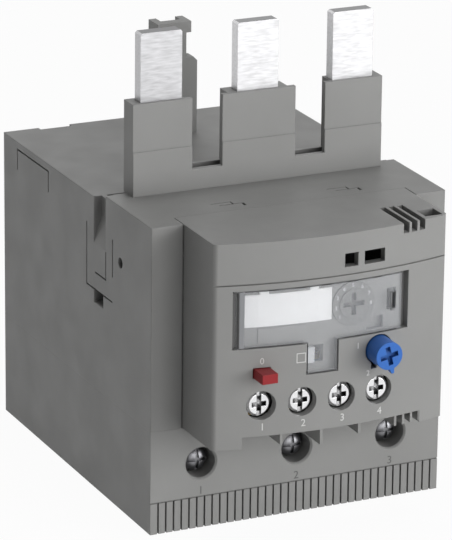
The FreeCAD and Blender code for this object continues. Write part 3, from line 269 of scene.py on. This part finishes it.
def clear_plastic():
    """Clear hinged window: see-through, with faint waviness in its gloss."""
    material, tree, shader, place = start_material("clear_window", (0.70, 0.72, 0.75), roughness=0.14)
    shader.inputs["Alpha"].default_value = 0.16
    shader.inputs["IOR"].default_value = 1.49
    add_bump(tree, shader, noise(tree, place, scale=120), depth=0.01*MM, edge=0.06*MM)
    roughen(tree, shader, noise(tree, place, scale=300), low=0.08, high=0.16)
    return material


def printed(name, colour, painted_shade=0.45):
    """Thin printed paint, with hardly any grain and with painted shade in recesses."""
    return plastic(name, colour, grain=0.003*MM, edge=0, painted_shade=painted_shade)


# Colour of the case's plastic, and brightness of the tin on each bar.
CASE = (0.226, 0.226, 0.221)
BAR_LEVELS = (0.46, 0.585, 0.575)


def give(material, *names):
    """Put one material on CAD nodes."""
    for name in names:
        data = nodes[name].data
        data.materials.clear()
        data.materials.append(material)


def dress_case():
    """Dark grey plastic of the case, its cover and its shroud, and the black pieces inside, all with shade
    painted into their recesses.
    """
    give(plastic("case_plastic", CASE, edge=0.45*MM), "housing")
    give(plastic("base_plastic", CASE, edge=0.15*MM, local=True), "terminal_base")
    give(plastic("cover_plastic", tone(CASE, 1.02), roughness=0.48, edge=0.2*MM, painted_shade=0.65,
                 local=True, wide=0.42), "front_cover")
    give(plastic("shroud_plastic", tone(CASE, 1.06)), "terminal_shroud", "coupling_hook")
    give(plastic("block_plastic", (0.03, 0.03, 0.03)),
         "aux_terminal_block", "mechanism_frame", "reset_plunger")


def dress_controls():
    """Dial, knob, button, test slide and window, and the pale moving pieces inside."""
    give(plastic("dial_plastic", tone(CASE, 0.80), roughness=0.4, edge=0.08*MM, painted_shade=0.8, local=True),
         "setting_dial")
    give(plastic("blue_plastic", (0.022, 0.125, 0.45), roughness=0.4, grain=0.004*MM, gloss=0.4),
         "reset_knob")
    give(plastic("red_plastic", (0.255, 0.012, 0.016), roughness=0.4, grain=0.004*MM, gloss=0.3),
         "stop_button")
    give(plastic("slide_plastic", (0.58, 0.59, 0.61), roughness=0.4, local=True), "test_slide")
    give(plastic("ivory_plastic", (0.62, 0.57, 0.45)), "trip_slider", "trip_lever", "contact_carrier")
    give(clear_plastic(), "window_cover")


def dress_metals():
    """Tinned bars with painted shade on their faces that point up, the small screws, and the metals inside
    the case.
    """
    for name, level in zip(numbered("connection_bar", 3), BAR_LEVELS):
        give(metal(name + "_tin", (level, level, level + 0.01), 0.42, (0.16, 1, 1), contrast=0.13,
                   scale=2200, top_shade=0.4), name)
    give(metal("tinned_lug", (0.80, 0.80, 0.80), 0.32, (1, 1, 0.1)), *numbered("load_lug", 3))
    give(metal("zinc", (0.62, 0.62, 0.63), 0.34, (1, 0.2, 1)), *numbered("clamp_cage", 3), "lever_pin")
    give(metal("heater_alloy", (0.42, 0.36, 0.31), 0.38, (0.1, 1, 1)), *numbered("heater", 3))
    give(metal("bimetal", (0.50, 0.47, 0.44), 0.36, (1, 1, 0.05)),
         *numbered("bimetal_strip", 3), "compensation_strip")
    give(metal("spring_wire", (0.55, 0.55, 0.55), 0.3, (1, 1, 1)),
         "reset_spring", "stop_spring", "carrier_spring")
    give(metal("brass", (0.70, 0.50, 0.22), 0.3, (1, 1, 0.1)),
         *numbered("contact_strip", 4), "break_contact", "make_contact")
    # The small screws' cross slots get deep painted shade.
    for screw, washer in zip(numbered("aux_screw", 4), numbered("aux_washer", 4)):
        give(turned_metal(screw + "_chrome", (0.82, 0.82, 0.83), 0.2, centre_of(screw)), screw, washer)


# Making a piece

# Parts of a bowed strip across, and the share of its thickness that is cut from its front corners.
STRIP_STEPS = 6
CORNER_SHARE = 0.3


def place_in_scene(name, data):
    """New object in the scene for a mesh, curve, camera or lamp."""
    thing = bpy.data.objects.new(name, data)
    bpy.context.scene.collection.objects.link(thing)
    return thing


def finish_piece(name, shape, material, body):
    """Piece made from a drawn shape; it rides on a body."""
    mesh = bpy.data.meshes.new(name)
    shape.to_mesh(mesh)
    shape.free()
    mesh.materials.append(material)
    piece = place_in_scene(name, mesh)
    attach(piece, body)
    return piece


def bowed_strip(name, x_range, z_range, sinks, material, body):
    """Strip that follows the bow between two depths, with its front corners cut."""
    left, right = x_range
    front, back = sinks
    corner = CORNER_SHARE*(back - front)
    across = [left + (right - left)*k/STRIP_STEPS for k in range(STRIP_STEPS + 1)]
    profile = [(left, front + corner)] + [(x, front) for x in across[1:-1]] + [(right, front + corner)]
    profile += [(x, back) for x in reversed(across)]
    shape = bmesh.new()
    low, high = [[shape.verts.new((x, bow_y(x, sink), z)) for x, sink in profile] for z in z_range]
    for k in range(len(profile)):
        after = (k + 1) % len(profile)
        shape.faces.new((low[k], low[after], high[after], high[k]))
    shape.faces.new(low)
    shape.faces.new(high)
    bmesh.ops.recalc_face_normals(shape, faces=shape.faces)
    return finish_piece(name, shape, material, body)


# Window trim, and black sheets and lines of painted shade round the window

# Spans on the hinge side are given from the window's left edge; sinks are depths behind the bow.
SLIT_SPAN = (-0.88*MM, -0.32*MM)
SLIT_SINKS = (0.25*MM, 1.9*MM)
HINGE_EDGE_SPAN = (0.02*MM, 0.5*MM)
HINGE_BAND_SPAN = (0.52*MM, 1.62*MM)
HINGE_END_GAP = 0.3*MM
TRIM_SINKS = (-0.01*MM, 0.12*MM)

# Gap between the pan and the window, and the start and width of the black lines of painted shadow on its
# edges.
WINDOW_GAP = 0.15*MM
RIM_START = 1.7*MM
RIM_WIDTH = 0.2*MM

# Catch opening at the window's right, its black lining of painted shade on the side and back, and the black
# grip of painted shade beside the opening's left edge.
CATCH_X = (13.6*MM, 15.2*MM)
CATCH_Z = (50.6*MM, 55.4*MM)
LINING_GAP = 0.05*MM
LINING_THICK = 0.2*MM
LINING_DEEP = 0.7*MM
BACK_THICK = 0.8*MM
GRIP_SPAN = (-0.62*MM, -0.02*MM)
GRIP_END_GAP = 0.3*MM
GRIP_SINKS = (0.3*MM, 0.53*MM)

# Low raised field in the pan, below the label.
FIELD_LEFT = -17.3*MM
FIELD_PAST_TAB = 0.8*MM
FIELD_RISE = 0.5*MM
FIELD_BELOW_LABEL = 0.9*MM
FIELD_THICK = 0.35*MM


def add_hinge_side(shade_black):
    """Black sheet of painted shade in the slit beside the window, a black strip of painted shade on the
    window's edge, and the frosted band there.
    """
    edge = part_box("window_cover")[0][0]
    z_range = narrowed(PAN_Z, HINGE_END_GAP)
    slit = plastic("slit_shade_black", (0.09, 0.09, 0.09), roughness=0.6)
    bowed_strip("slit_shadow", moved(SLIT_SPAN, edge), z_range, SLIT_SINKS, slit, "case")
    bowed_strip("hinge_shadow_edge", moved(HINGE_EDGE_SPAN, edge), z_range, TRIM_SINKS, shade_black,
                "window")
    band = plastic("frosted_band", (0.225, 0.23, 0.24), roughness=0.35, grain=0.004*MM, edge=0.05*MM)
    bowed_strip("hinge_band", moved(HINGE_BAND_SPAN, edge), z_range, TRIM_SINKS, band,
                "window")


def add_window_rim(shade_black):
    """Black lines of painted shadow along the window's edges and round its tongue."""
    (edge, _, _), (far, _, _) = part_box("window_cover")
    start = edge + RIM_START
    low, high = narrowed(PAN_Z, WINDOW_GAP)
    left, right = narrowed(TAB_X, WINDOW_GAP)
    tab_low = TAB_LOW + WINDOW_GAP
    runs = [((start, left), (low, low + RIM_WIDTH)),
            ((right, far), (low, low + RIM_WIDTH)),
            ((start, far), (high - RIM_WIDTH, high)),
            ((left, right), (tab_low, tab_low + RIM_WIDTH)),
            ((left, left + RIM_WIDTH), (tab_low + RIM_WIDTH, low)),
            ((right - RIM_WIDTH, right), (tab_low + RIM_WIDTH, low))]
    for name, (x_range, z_range) in zip(numbered("window_shadow_rim", len(runs)), runs):
        bowed_strip(name, x_range, z_range, TRIM_SINKS, shade_black, "window")


def add_catch(shade_black):
    """Black sheets of painted shade at the back and side of the catch opening, and a black strip of painted
    shade on the window's hook.
    """
    z_range = narrowed(CATCH_Z, LINING_GAP)
    back = PAN_DEPTH + LINING_DEEP
    bowed_strip("catch_shadow_back", CATCH_X, z_range, (back, back + BACK_THICK), shade_black, "case")
    bowed_strip("catch_shadow_grip", moved(GRIP_SPAN, CATCH_X[0]), narrowed(CATCH_Z, GRIP_END_GAP), GRIP_SINKS,
                shade_black, "window")
    bowed_strip("catch_shadow_lining", (CATCH_X[1] - LINING_THICK, CATCH_X[1]), z_range,
                (PAN_DEPTH + LINING_GAP, back), shade_black, "case")


def add_pan_field():
    """Low raised field in the pan, below the label."""
    field = plastic("field_plastic", tone(CASE, 1.12), edge=0.05*MM, painted_shade=0, local=True)
    label_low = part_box("label_card")[0][2]
    bowed_strip("pan_field", (FIELD_LEFT, TAB_X[0] + FIELD_PAST_TAB),
                (PAN_Z[0] + FIELD_RISE, label_low - FIELD_BELOW_LABEL),
                (PAN_DEPTH - FIELD_THICK, PAN_DEPTH), field, "case")


# Label

# Thickness, how far the edges lie inside or below those of the CAD card, and the tabs on top.
LABEL_THICK = 0.3*MM
LABEL_INSET = 0.3*MM
LABEL_LOW_DROP = 0.5*MM
LABEL_TOP_DROP = 1.1*MM
LABEL_TABS = (3.9*MM, 15.1*MM)
LABEL_TAB_WIDTH = 2*MM
LABEL_TAB_RISE = 0.6*MM


def add_label():
    """Blank label with its two tabs, a little lower in the pan than the CAD card."""
    card = plastic("card", (0.92, 0.92, 0.925), roughness=0.6, grain=0.006*MM, edge=0.05*MM,
                   contrast=0.015, painted_shade=0.0)
    sinks = (PAN_DEPTH - LABEL_THICK, PAN_DEPTH)
    (left, _, low), (right, _, high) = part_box("label_card")
    top = high - LABEL_TOP_DROP
    sheet = bowed_strip("label_sheet", (left + LABEL_INSET, right), (low - LABEL_LOW_DROP, top), sinks, card,
                        "case")
    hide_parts("label_card")
    for name, place in zip(numbered("label_tab", 2), LABEL_TABS):
        bowed_strip(name, moved((place, place + LABEL_TAB_WIDTH), left), (top, top + LABEL_TAB_RISE), sinks,
                    card, "case")


# Main screws

# Where the domed head starts behind the case front, its height, its facets and its cross slot.
DOME_SINK = 1.9*MM
DOME_RISE = 2.0*MM
DOME_SIDES = 32
DOME_STEPS = 8
SLOT_WIDTH = 0.7*MM
SLOT_REACH = 2.2*MM
SLOT_DEPTH = 0.5*MM
SHARP_ANGLE = math.radians(30)


def turned_shape(x, z, profile):
    """Closed shape turned about an axis along Y, from the tip of its profile to the last ring."""
    shape = bmesh.new()
    turns = [2*math.pi*k/DOME_SIDES for k in range(DOME_SIDES)]
    rings = []
    for radius, y in profile[1:]:
        rings.append([shape.verts.new((x + radius*math.cos(a), y, z + radius*math.sin(a))) for a in turns])
    tip = shape.verts.new((x, profile[0][1], z))
    for k in range(DOME_SIDES):
        after = (k + 1) % DOME_SIDES
        shape.faces.new((tip, rings[0][k], rings[0][after]))
        for inner, outer in zip(rings, rings[1:]):
            shape.faces.new((inner[k], outer[k], outer[after], inner[after]))
    shape.faces.new(rings[-1])
    return shape


def sink_cross(shape, x, z, rim):
    """Cross slot pressed into the dome, whose faces all lie in front of its rim."""
    for reach in (SLOT_WIDTH/2, SLOT_REACH):
        for sign in (-1, 1):
            for place, way in (((x + sign*reach, 0, 0), (1, 0, 0)), ((0, 0, z + sign*reach), (0, 0, 1))):
                everything = shape.verts[:] + shape.edges[:] + shape.faces[:]
                bmesh.ops.bisect_plane(shape, geom=everything, plane_co=place, plane_no=way)
    slot = []
    for face in shape.faces:
        middle = face.calc_center_median()
        across, up = abs(middle.x - x), abs(middle.z - z)
        if middle.y < rim and min(across, up) < SLOT_WIDTH/2 and max(across, up) < SLOT_REACH:
            slot.append(face)
    grown = bmesh.ops.extrude_face_region(shape, geom=slot)["geom"]
    bmesh.ops.delete(shape, geom=slot, context="FACES")
    for vertex in grown:
        if isinstance(vertex, bmesh.types.BMVert):
            vertex.co.y += SLOT_DEPTH


def domed_screw(name, body, material):
    """Main screw with a domed head and a cross slot, in the place of the plain CAD screw."""
    low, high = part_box(name)
    radius = (high[0] - low[0])/2
    x, z = centre_of(name)
    front = FRONT + DOME_SINK
    turns = [math.pi/2*k/DOME_STEPS for k in range(DOME_STEPS + 1)]
    dome = [(radius*math.sin(a), front + DOME_RISE*(1 - math.cos(a))) for a in turns]
    shape = turned_shape(x, z, dome + [(radius, high[1])])
    sink_cross(shape, x, z, front + DOME_RISE)
    bmesh.ops.recalc_face_normals(shape, faces=shape.faces)
    for face in shape.faces:
        face.smooth = True
    for edge in shape.edges:
        edge.smooth = edge.calc_face_angle(0.0) < SHARP_ANGLE
    piece = finish_piece(name + "_domed", shape, material, body)
    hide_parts(name)


def add_main_screws():
    """Three domed screws, deep in their bores, each with its own turning rings and a little painted shade in
    its cross slot.
    """
    for name, body in zip(numbered("terminal_screw", 3), numbered("screw", 3)):
        steel = turned_metal(name + "_steel", (0.20, 0.20, 0.21), 0.36, centre_of(name), painted_shade=0.4)
        domed_screw(name, body, steel)


# Printed marks

PRINT_LIFT = 0.02*MM

# Numbers below the small terminals and below the main screws: their size and place.
TERMINAL_NUMBER = 2.3*MM
TERMINAL_SHIFT = 0.3*MM
TERMINAL_DROP = 4.9*MM
POLE_NUMBER = 2.6*MM
POLE_DROP = 6.4*MM

# Numbers on the dial's ring, which lies a step behind the dial's front; angles in degrees.
DIAL_NUMBER = 1.2*MM
DIAL_RADIUS = 4.15*MM
DIAL_RING_STEP = 0.2*MM
DIAL_COUNT = 8
DIAL_START = 220
DIAL_PITCH = 32

# Stop sign, square beside the slide, and each number at the reset knob: across, up and size.
STOP_NUMBER = 2.0*MM
STOP_RISE = 2.6*MM
SQUARE_WIDTH = 2.1*MM
SQUARE_HEIGHT = 2.2*MM
SQUARE_LINE = 0.18*MM
SQUARE_SHIFT = 1.0*MM
SQUARE_DROP = 2.0*MM
RESET_NUMBERS = ((-5.2*MM, 2.0*MM, 1.9*MM), (-2.6*MM, -4.6*MM, 1.7*MM))


def mark(name, text, x, z, size, material, y=None, body="case"):
    """Plain number that faces forward; it follows the bow where no depth is given."""
    curve = bpy.data.curves.new(name, "FONT")
    curve.body = text
    curve.size = size
    curve.align_x = "CENTER"
    curve.align_y = "CENTER"
    curve.extrude = PRINT_LIFT
    curve.materials.append(material)
    piece = place_in_scene(name, curve)
    yaw = bow_angle(x) if y is None else 0.0
    depth = bow_y(x) if y is None else y
    piece.matrix_world = (Matrix.Translation((x, depth - PRINT_LIFT, z)) @ Matrix.Rotation(yaw, 4, "Z")
                          @ Matrix.Rotation(math.pi/2, 4, "X"))
    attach(piece, body)


def add_terminal_numbers(white, dark):
    """Plain numbers below the small terminals and below the main screws."""
    for k, name in enumerate(numbered("aux_screw", 4)):
        x, z = centre_of(name)
        mark("terminal_number_" + str(k + 1), str(k + 1), x + TERMINAL_SHIFT, z - TERMINAL_DROP,
             TERMINAL_NUMBER, white)
    for k, name in enumerate(numbered("terminal_screw", 3)):
        x, z = centre_of(name)
        mark("pole_number_" + str(k + 1), str(k + 1), x, z - POLE_DROP, POLE_NUMBER, dark, FRONT)


def add_dial_scale(pale):
    """Plain numbers printed on the ring of the setting dial; they turn with it."""
    x, z = centre_of("setting_dial")
    ring_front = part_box("setting_dial")[0][1] + DIAL_RING_STEP
    for k, name in enumerate(numbered("dial_number", DIAL_COUNT)):
        turn = math.radians(DIAL_START - k*DIAL_PITCH)
        mark(name, str(k + 1), x + DIAL_RADIUS*math.cos(turn), z + DIAL_RADIUS*math.sin(turn),
             DIAL_NUMBER, pale, ring_front, "dial")


def add_stop_sign(white):
    """Plain nought above the red button."""
    x, z = centre_of("stop_button")
    mark("stop_sign", "0", x, z + STOP_RISE, STOP_NUMBER, white)


def add_square(white):
    """Thin printed square beside the slide, of four strips that lie on the bowed face."""
    low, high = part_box("test_slide")
    x, z = low[0] - SQUARE_SHIFT, high[2] - SQUARE_DROP
    left, right = x - SQUARE_WIDTH/2, x + SQUARE_WIDTH/2
    bottom, top = z - SQUARE_HEIGHT/2, z + SQUARE_HEIGHT/2
    between = narrowed((bottom, top), SQUARE_LINE)
    runs = [((left, right), (bottom, bottom + SQUARE_LINE)),
            ((left, right), (top - SQUARE_LINE, top)),
            ((left, left + SQUARE_LINE), between),
            ((right - SQUARE_LINE, right), between)]
    for name, (x_range, z_range) in zip(numbered("state_square", len(runs)), runs):
        bowed_strip(name, x_range, z_range, (-PRINT_LIFT, PRINT_LIFT), white, "case")


def add_reset_numbers(white):
    """Plain numbers beside the reset knob, one for each of its two settings."""
    x, z = centre_of("reset_knob")
    for k, (across, up, size) in enumerate(RESET_NUMBERS):
        mark("reset_number_" + str(k + 1), str(k + 1), x + across, z + up, size, white)


def add_marks():
    """All printed marks: plain numbers and one square."""
    white = printed("print_white", (0.58, 0.58, 0.57))
    add_terminal_numbers(white, printed("print_dark", (0.10, 0.10, 0.098)))
    add_dial_scale(printed("print_pale", (0.66, 0.66, 0.67), painted_shade=0))
    add_stop_sign(white)
    add_square(white)
    add_reset_numbers(white)


# Camera, light and floor

CAMERA_YAW, CAMERA_PITCH, CAMERA_ROLL = (math.radians(a) for a in (-25.01, 18.69, 0.66))
CAMERA_AIM = Vector((-3.56*MM, FRONT + 30*MM, 47.28*MM))
CAMERA_DISTANCE = 901.07*MM
CAMERA_LENS = 269.77
SENSOR_WIDTH = 36

# Place and power of each lamp; they all point at the same spot.
LAMPS = {"front": ((0.05, -1.3, 0.45), 6.2), "key": ((0.85, -1.0, 0.30), 13.3),
         "top": ((0, -0.1, 1.35), 5.2), "rear": ((-0.1, 1.3, 0.5), 3)}
LAMP_AIM = (0, 0, 0.05)
LAMP_SIZE = 0.8

# Strength of the surroundings as light, and share of glow on the floor where it is looked at.
AMBIENT = 0.03
FLOOR_GLOW = 0.95
FLOOR_REACH = 6
FLOOR_DROP = 0.05*MM


def add_camera():
    """Camera found by fitting the case's corners to the photograph."""
    level = math.cos(CAMERA_PITCH)
    back = Vector((math.sin(CAMERA_YAW)*level, -math.cos(CAMERA_YAW)*level, math.sin(CAMERA_PITCH)))
    right = (-back).cross(Vector((0, 0, 1))).normalized()
    up = right.cross(-back)
    turned_right = right*math.cos(CAMERA_ROLL) + up*math.sin(CAMERA_ROLL)
    turned_up = up*math.cos(CAMERA_ROLL) - right*math.sin(CAMERA_ROLL)
    data = bpy.data.cameras.new("camera")
    data.lens = CAMERA_LENS
    data.sensor_width = SENSOR_WIDTH
    data.clip_end = 10
    camera = place_in_scene("camera", data)
    rotation = Matrix((turned_right, turned_up, back)).transposed().to_4x4()
    camera.matrix_world = Matrix.Translation(CAMERA_AIM + back*CAMERA_DISTANCE) @ rotation
    bpy.context.scene.camera = camera


def add_lamps():
    """Soft square lamps that all point at the lower part of the object."""
    for name, (place, power) in LAMPS.items():
        data = bpy.data.lights.new(name, "AREA")
        data.shape = "SQUARE"
        data.size = LAMP_SIZE
        data.energy = power
        toward = Vector(place) - Vector(LAMP_AIM)
        turn = toward.to_track_quat("Z", "Y").to_matrix().to_4x4()
        place_in_scene(name, data).matrix_world = Matrix.Translation(place) @ turn


def larger(tree, first, second):
    """Larger of two values."""
    node = tree.nodes.new("ShaderNodeMath")
    node.operation = "MAXIMUM"
    tree.links.new(first, node.inputs[0])
    tree.links.new(second, node.inputs[1])
    return node.outputs[0]


def seen_directly(tree):
    """One where the camera, a reflection or clear plastic looks, zero for light on the object."""
    path = tree.nodes.new("ShaderNodeLightPath")
    seen = larger(tree, path.outputs["Is Camera Ray"], path.outputs["Is Glossy Ray"])
    return larger(tree, seen, path.outputs["Is Transmission Ray"])


def add_world():
    """White surroundings that light the object only faintly."""
    world = bpy.data.worlds.new("world")
    bpy.context.scene.world = world
    world.use_nodes = True
    tree = world.node_tree
    background = tree.nodes["Background"]
    background.inputs["Color"].default_value = (1, 1, 1, 1)
    strength = ranged(tree, seen_directly(tree), (0.0, 1.0), (AMBIENT, 1.0))
    tree.links.new(strength, background.inputs["Strength"])


def add_floor():
    """Pale floor that glows nearly white where it is looked at, and keeps the object's shadow."""
    mesh = bpy.data.meshes.new("floor")
    shape = bmesh.new()
    bmesh.ops.create_grid(shape, x_segments=1, y_segments=1, size=FLOOR_REACH)
    shape.to_mesh(mesh)
    shape.free()
    floor = place_in_scene("floor", mesh)
    floor.location.z = -FLOOR_DROP
    material, tree, shader, _ = start_material("floor", (0.9, 0.9, 0.9), roughness=0.9)
    glow = tree.nodes.new("ShaderNodeEmission")
    glow.inputs["Strength"].default_value = 1.0
    mix = tree.nodes.new("ShaderNodeMixShader")
    tree.links.new(ranged(tree, seen_directly(tree), (0.0, 1.0), (0.0, FLOOR_GLOW)), mix.inputs[0])
    tree.links.new(shader.outputs[0], mix.inputs[1])
    tree.links.new(glow.outputs[0], mix.inputs[2])
    tree.links.new(mix.outputs[0], tree.nodes["Material Output"].inputs["Surface"])
    mesh.materials.append(material)


dress_case()
dress_controls()
dress_metals()
# Near-black material for the sheets and lines of painted shade and shadow round the window.
painted_shade_black = plastic("painted_shade_black", (0.012, 0.012, 0.012), roughness=0.6)
add_hinge_side(painted_shade_black)
add_window_rim(painted_shade_black)
add_catch(painted_shade_black)
add_pan_field()
add_label()
add_main_screws()
add_marks()
add_camera()
add_world()
add_lamps()
add_floor()
bpy.context.scene.view_settings.view_transform = "Standard"
